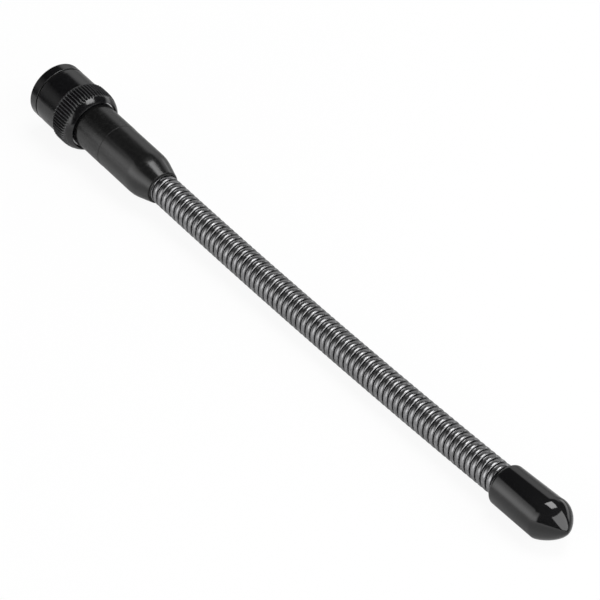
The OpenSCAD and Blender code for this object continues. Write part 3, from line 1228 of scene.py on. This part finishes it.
@dataclass
class Neck(Part):
    """The flexible neck: a wedge wire wound over a round one, in coils that stand between the bending
    stations.

    Attributes:
        bends: The joints of the bending stations.
        turns: Turns from one station to the next.
        steps: Sections in one turn.
        outer: The wire that shows.
        inner: The wire in the gaps between its turns.
    """

    bends: Sequence[dict[str, Any]]
    turns: int = 6
    steps: int = 48
    outer: Wire = Wire("outer_coil", "outer_wire", crest_r=4.04, width=1.36, thickness=1.3, root=0.4,
                       phase=0.0, section=24, finish=WIRE_STEEL, crown=3.5)
    inner: Wire = Wire("inner_coil", "inner_wire", crest_r=3.64, width=0.5, thickness=0.84, root=1.0,
                       phase=0.5, section=16, finish=CORE_STEEL)

    def __post_init__(self) -> None:
        """Works out the rise of a turn and where the neck starts."""
        self.stand = self.line.stand(0)
        self.pitch = self.line.link / self.turns

    def build(self) -> None:
        """Builds and dresses the coils of both wires."""
        link = self.line.link
        for wire in (self.outer, self.inner):
            self.end_coil(wire, -link / 4, "head", 1)
            pattern = wire.coil(wire.name, self.pitch, self.turns, self.steps)
            for k, joint in enumerate(self.bends, start=1):
                coil = Bench.copy(pattern, f"{wire.name}_{k:02d}")
                Bench.settle(coil, self.line.stand((k - 0.5) * link))
                self.wardrobe.dress(coil, wire.finish, self.stand)
                self.line.point((k - 1) * link)
                self.line.point(k * link)
                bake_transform(coil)
                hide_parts(f"{wire.node}_{k + 1:02d}")
            bpy.data.objects.remove(pattern)
            self.end_coil(wire, self.line.length + link / 4, "tip", self.line.stations + 1)

    def end_coil(self, wire: Wire, middle: float, body: str, number: int) -> None:
        """Makes the hidden turns at one end, inside the boot or the cap.

        Args:
            wire: The wire.
            middle: Where the middle of these turns lies, along the line.
            body: The body that holds this end.
            number: Number of the node that these turns stand for.
        """
        coil = wire.coil(f"{wire.name}_{body}_end", self.pitch, self.turns // 2, self.steps)
        Bench.settle(coil, self.line.stand(middle))
        self.give(coil, wire.finish, body, f"{wire.node}_{number:02d}")


@dataclass
class Tip(Part):
    """The vinyl cap on the tip of the neck, and the plug inside it.

    Attributes:
        mouth_r: Radius of the cap behind its mouth.
        cap_r: Radius of the cap where its dome starts.
        overlap: How far the mouth reaches over the neck.
        dome_at: Where the dome starts.
        dome_len: Length of the dome.
        dome_steps: Number of rings along the dome.
        fullness: How long the dome keeps its width.
        bluntness: How blunt its tip is.
        lean: First and second share of the dome's sideways lean.
        lean_deg: Direction of the lean, 0 being up and 90 along +Y.
        mouth_round: Rounding of the mouth.
        lip_r: Radius of the hole in the mouth.
        lip_len: Length of the lip round that hole.
        bore_r: Radius of the bore behind the lip.
        bore_end: Where the bore's round end starts.
    """

    mouth_r: float = 5.28
    cap_r: float = 5.55
    overlap: float = 1.0
    dome_at: float = 13.6
    dome_len: float = 6.83
    dome_steps: int = 40
    fullness: float = 1.63
    bluntness: float = 0.73
    lean: tuple[float, float] = (2.0, -1.66)
    lean_deg: float = 72.0
    mouth_round: float = 0.9
    lip_r: float = 4.15
    lip_len: float = 1.0
    bore_r: float = 4.45
    bore_end: float = 13.9

    def __post_init__(self) -> None:
        """Stands the cap on the end of the neck."""
        self.stand = self.line.stand(self.line.length)

    def build(self) -> None:
        """Builds and dresses the cap, and dresses the plug."""
        self.give(self.cap(), BLACK_VINYL, "tip", "tip_cap")
        self.wardrobe.dress(frame["nodes"]["tip_plug"], PLAIN_STEEL, self.stand)

    def cap(self) -> Piece:
        """Dipped cap with a rounded mouth and a domed end that leans a little.

        Returns:
            The finished piece.
        """
        shares = [math.sin(math.pi / 2 * i / self.dome_steps) for i in range(1, self.dome_steps)]
        lip_end = self.lip_len - self.overlap
        piece = Bench.turn("vinyl_cap", [
            *arc((0, self.bore_end), self.bore_r, start=89, end=0, steps=12),
            Corner(self.bore_r, lip_end, 0.1), Corner(self.lip_r, lip_end, 0.1),
            Corner(self.lip_r, -self.overlap, 0.25),
            Corner(self.mouth_r, -self.overlap, self.mouth_round), Corner(self.cap_r, self.dome_at),
            *(self._dome(share) for share in shares)], Ends.CAPPED)
        toward = math.radians(self.lean_deg)
        same_height, same_radius = 1e-7, 1e-6
        for share in shares:
            height = self._dome(share).u * MM
            reach = self._dome(share).r * MM
            lean = (self.lean[0] * share + self.lean[1] * share ** 2) * MM
            Bench.select(piece, lambda co, z=height, r=reach: abs(co.z - z) < same_height
                         and abs(math.hypot(co.x, co.y) - r) < same_radius)
            bpy.ops.transform.translate(value=(-lean * math.cos(toward), lean * math.sin(toward), 0))
        Bench.close()
        Bench.settle(piece, self.stand, smooth_deg=60)
        return piece

    def _dome(self, share: float) -> Corner:
        """Point of the dome's outline at a share of its length."""
        r = self.cap_r * (1 - share ** self.fullness) ** self.bluntness
        return Corner(r, self.dome_at + self.dome_len * share)


@dataclass(frozen=True)
class SoftBox:
    """A lamp behind a sheet of white cloth.

    Attributes:
        name: Name of the lamp.
        place: Where its middle is, in metres.
        faces: Direction that it shines in.
        size: Width and height in metres.
        level: How bright it looks, white paper being 1.
    """

    name: str
    place: Place
    faces: Place
    size: tuple[float, float]
    level: float

    def build(self) -> None:
        """Hangs the lamp."""
        lamp = bpy.data.lights.new(self.name, "AREA")
        lamp.shape = "RECTANGLE"
        lamp.size, lamp.size_y = self.size
        lamp.energy = self.level * math.pi * self.size[0] * self.size[1]
        hung = bpy.data.objects.new(self.name, lamp)
        hung.location = self.place
        hung.rotation_mode = "QUATERNION"
        hung.rotation_quaternion = Vector(self.faces).to_track_quat("-Z", "Y")
        bpy.context.scene.collection.objects.link(hung)


@dataclass(frozen=True)
class Card:
    """A small upright card beside the tool, which shows only in the tool's gloss.

    Its fades run up the card, from -0.5 at its foot to 0.5 at its top, and white paper is 1.

    Attributes:
        name: Name of the card.
        place: Where its middle is, in metres.
        faces: Direction that it faces.
        size: Width and height in metres.
        rise: How bright it looks, from its dark lower part to its middle.
        fall: What is left of that, from its middle to its top.
        foot: Light from the floor that its foot catches.
    """

    name: str
    place: Place
    faces: Place
    size: tuple[float, float]
    rise: Fade
    fall: Fade
    foot: Fade

    def build(self) -> None:
        """Stands the card up."""
        card = Bench.plane(self.name, 1.0)
        turn = Vector(self.faces).to_track_quat("Z", "Y").to_matrix().to_4x4()
        card.matrix_world = Matrix.Translation(self.place) @ turn @ Matrix.Diagonal((*self.size, 1, 1))
        sheet = NodeSheet.bare(card, self.name)
        up = sheet.axes("Object")[1]
        band = sheet.math("MULTIPLY", sheet.ramp(up, self.rise), sheet.ramp(up, self.fall))
        sheet.show(sheet.glow(sheet.math("ADD", band, sheet.ramp(up, self.foot))))
        card.visible_camera = card.visible_diffuse = card.visible_shadow = card.visible_transmission = False


@dataclass(frozen=True)
class Wall:
    """A white stretch of the studio's walls: the product of its fades.

    Attributes:
        name: What it is.
        fades: What each fade runs along, and the fade.
    """

    name: str
    fades: tuple[tuple[Measure, Fade], ...]

    def light(self, sheet: NodeSheet, ways: dict[Measure, Socket]) -> Socket:
        """Adds the nodes of its light.

        Args:
            sheet: Sheet of the world.
            ways: The socket of each measure.

        Returns:
            How bright it looks.
        """
        log.info("%s is lit", self.name)
        return sheet.math("MULTIPLY", *(sheet.ramp(ways[measure], fade) for measure, fade in self.fades))


@dataclass
class Studio:
    """White floor, soft boxes, the walls round them, a dark card beside the head, and the camera.

    Attributes:
        azimuth_deg: Where the camera stands, 0 looking along +Y.
        elevation_deg: Height of the camera above the horizon.
        camera_at: Place of the camera in metres.
        lens: Focal length in millimetres.
        sensor: Width of the camera's sensor in millimetres.
        floor_size: Side of the floor in metres.
        floor_white: Share of the light that the floor gives back.
        floor_glow: Share of plain white in what the camera sees of the floor.
        floor_sheen: Share of plain white in what glossy pieces show of it.
        floor_loss: What glossy pieces lose of the floor's white, by its place in metres along +Y.
        floor_gain: What they gain from the floor towards the front screen, by that place.
        wall_level: How bright the bare walls look.
        boxes: The soft boxes.
        card: The dark card.
        walls: The white stretches of the walls.
    """

    azimuth_deg: float = 53.22523
    elevation_deg: float = 39.29354
    camera_at: Place = (0.46228913, -0.34228695, 0.47618043)
    lens: float = 184.368
    sensor: float = 36.0
    floor_size: float = 40.0
    floor_white: float = 0.86
    floor_glow: float = 0.92
    floor_sheen: float = 0.3
    floor_loss: Fade = Fade(0.0, 0.04, 0.18, 0.6)
    floor_gain: Fade = Fade(-0.12, -0.015, 1.6, 0.0)
    wall_level: float = 0.03
    boxes: tuple[SoftBox, ...] = (
        SoftBox("overhead_box", place=(0.0975, 0.4575, 1.5), faces=(0, 0, -1),
                size=(0.855, 0.825), level=7.0),
        SoftBox("side_box", place=(1.31, 0.25, 0.704), faces=(-1.31, -0.25, -0.704),
                size=(1.95, 1.27), level=3.3))
    card: Card = Card("dark_card", place=(-0.1338, -0.0321, 0.033), faces=(0.69, 0.72, 0), size=(0.051, 0.06),
                      rise=Fade(-0.4, -0.08, 0.05, 0.35), fall=Fade(0.0, 0.5, 1.0, 0.0),
                      foot=Fade(-0.5, -0.36, 0.4, 0.0))
    walls: tuple[Wall, ...] = (
        Wall("screen at the front left", (
            (Measure.TURN, Fade(-78, -72, 1.0, 0.0)), (Measure.SIDE, Fade(-0.75, -0.57)),
            (Measure.HEIGHT, Fade(-0.1, 0.24, 1.5, 2.5)), (Measure.HEIGHT, Fade(0.24, 0.7, 1.0, 0.36)),
            (Measure.HEIGHT, Fade(0.63, 0.7, 1.0, 0.0)))),
        Wall("sweep at the back left", (
            (Measure.TURN, Fade(95, 110)), (Measure.HEIGHT, Fade(-0.05, 0.45, 0.32, 0.75)),
            (Measure.HEIGHT, Fade(0.5, 0.58, 1.0, 0.0)))),
        Wall("low sweep behind", (
            (Measure.TURN, Fade(58, 66)), (Measure.TURN, Fade(108, 118, 1.0, 0.0)),
            (Measure.HEIGHT, Fade(0.2, 0.3, 1.5, 0.0)))))

    def build(self) -> None:
        """Builds the whole studio."""
        for box in self.boxes:
            box.build()
        self.card.build()
        self.lay_floor()
        self.light_walls()
        self.set_camera()
        bpy.context.scene.view_settings.view_transform = "Standard"

    def lay_floor(self) -> None:
        """White floor that keeps a soft shadow and shows as white paper."""
        ground = Bench.plane("studio_floor", self.floor_size)
        sheet = NodeSheet.bare(ground, "white_paper")
        rays = sheet.add("LightPath").outputs
        mirrored = sheet.math("MAXIMUM", rays["Is Glossy Ray"], rays["Is Transmission Ray"])
        seen = sheet.math("MULTIPLY", rays["Is Camera Ray"], self.floor_glow)
        share = sheet.math("MAXIMUM", seen, sheet.math("MULTIPLY", mirrored, self.floor_sheen))
        back = sheet.axes("Object")[1]
        lost = sheet.math("MULTIPLY", mirrored, sheet.ramp(back, self.floor_loss))
        gained = sheet.math("MULTIPLY", mirrored, sheet.ramp(back, self.floor_gain))
        tone = sheet.math("SUBTRACT", 1.0, lost)
        paper = sheet.add("BsdfDiffuse", {"Color": sheet.math("MULTIPLY", tone, self.floor_white)})
        glow = sheet.glow(sheet.math("ADD", tone, gained))
        sheet.show(sheet.add("MixShader", {0: share, 1: paper.outputs[0], 2: glow}).outputs[0])

    def light_walls(self) -> None:
        """Dim walls with their white stretches."""
        world = bpy.data.worlds.new("studio_walls")
        bpy.context.scene.world = world
        world.use_nodes = True
        sheet = NodeSheet(world.node_tree)
        ray = sheet.axes("Generated")
        turn = sheet.math("DEGREES", sheet.math("ARCTAN2", ray[1], ray[0]))
        ways = {Measure.TURN: turn, Measure.HEIGHT: ray[2], Measure.SIDE: ray[0]}
        lit = sheet.math("ADD", self.wall_level, *(wall.light(sheet, ways) for wall in self.walls))
        surface = world.node_tree.nodes["Background"]
        surface.inputs["Color"].default_value = (1, 1, 1, 1)
        sheet.link(lit, surface, "Strength")

    def set_camera(self) -> None:
        """Camera at the photograph's place."""
        azimuth, elevation = math.radians(self.azimuth_deg), math.radians(self.elevation_deg)
        level = math.cos(elevation)
        back = Vector((math.sin(azimuth) * level, -math.cos(azimuth) * level, math.sin(elevation)))
        data = bpy.data.cameras.new("photo_camera")
        data.lens = self.lens
        data.sensor_width = self.sensor
        camera = bpy.data.objects.new("photo_camera", data)
        camera.location = self.camera_at
        camera.rotation_mode = "QUATERNION"
        camera.rotation_quaternion = (-back).to_track_quat("-Z", "Y")
        bpy.context.scene.collection.objects.link(camera)
        bpy.context.scene.camera = camera


def main() -> None:
    """Builds the studio and the tool, piece by piece."""
    logging.basicConfig(level=logging.INFO, format="%(name)s: %(message)s")
    bends = [joint for joint in frame["joints"] if joint["name"].startswith("neck_")]
    line = NeckLine.from_joints(bends)
    wardrobe = Wardrobe()
    Studio().build()
    parts = (Head(line, wardrobe), Boot(line, wardrobe), Neck(line, wardrobe, bends), Tip(line, wardrobe))
    for part in parts:
        part.build()
        log.info("%s is built", type(part).__name__)


if __name__ == "__main__":
    main()
